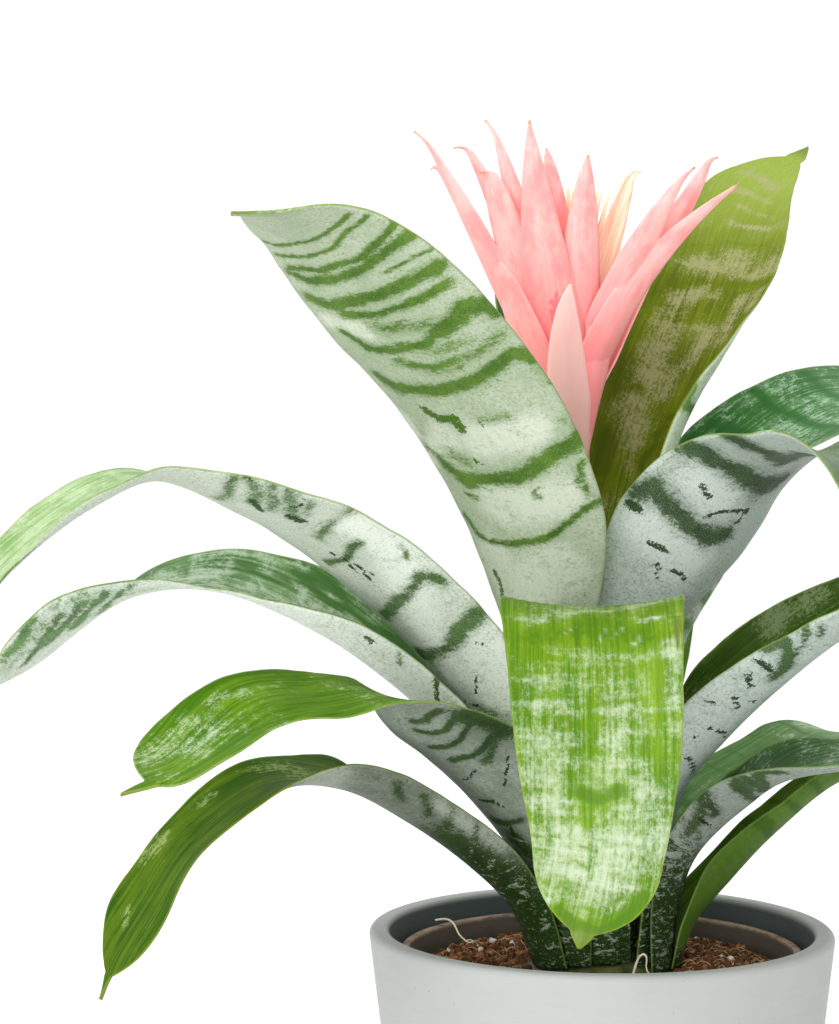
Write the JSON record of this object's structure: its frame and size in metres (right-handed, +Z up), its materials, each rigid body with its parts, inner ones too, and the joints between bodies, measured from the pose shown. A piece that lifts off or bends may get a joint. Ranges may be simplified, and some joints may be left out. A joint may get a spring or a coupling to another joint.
{
  "type": "potted aechmea",
  "caption": "Potted bromeliad: broad arching silver-banded leaves in a funnel round a pink spiky flower head, in a nursery pot inside a plain round planter.",
  "frame": {"origin": "centre of the planter's flat underside, on the surface that it stands on", "axes": "+Z up along the planter's axis; the pictured side faces -Y, and +X is to its right"},
  "size_m": [0.3539, 0.3124, 0.4092],
  "materials": {
    "planter": "matt pale warm grey",
    "nursery_pot": "dull dark brown, worn at the rim",
    "soil": null,
    "leaf": null,
    "bract": null,
    "floret": null
  },
  "bodies": {
    "root": {"planter": "planter", "nursery_pot": "nursery_pot", "soil": "soil", "crown": "leaf", "leaf_tall_left": "leaf", "leaf_tall_right": "leaf", "leaf_right_arching": "leaf", "leaf_right_behind": "leaf", "leaf_left_long": "leaf", "leaf_left_twisted": "leaf", "leaf_left_blunt": "leaf", "leaf_left_waved": "leaf", "leaf_front_hanging": "leaf", "leaf_right_folded": "leaf", "leaf_right_low": "leaf", "leaf_right_back_low": "leaf", "leaf_right_lowest": "leaf", "leaf_back_tall": "leaf", "leaf_right_inner": "leaf", "leaf_back_right": "leaf", "leaf_back_left": "leaf", "flower_head": "bract", "flower_florets": "floret"}
  },
  "joints": []
}
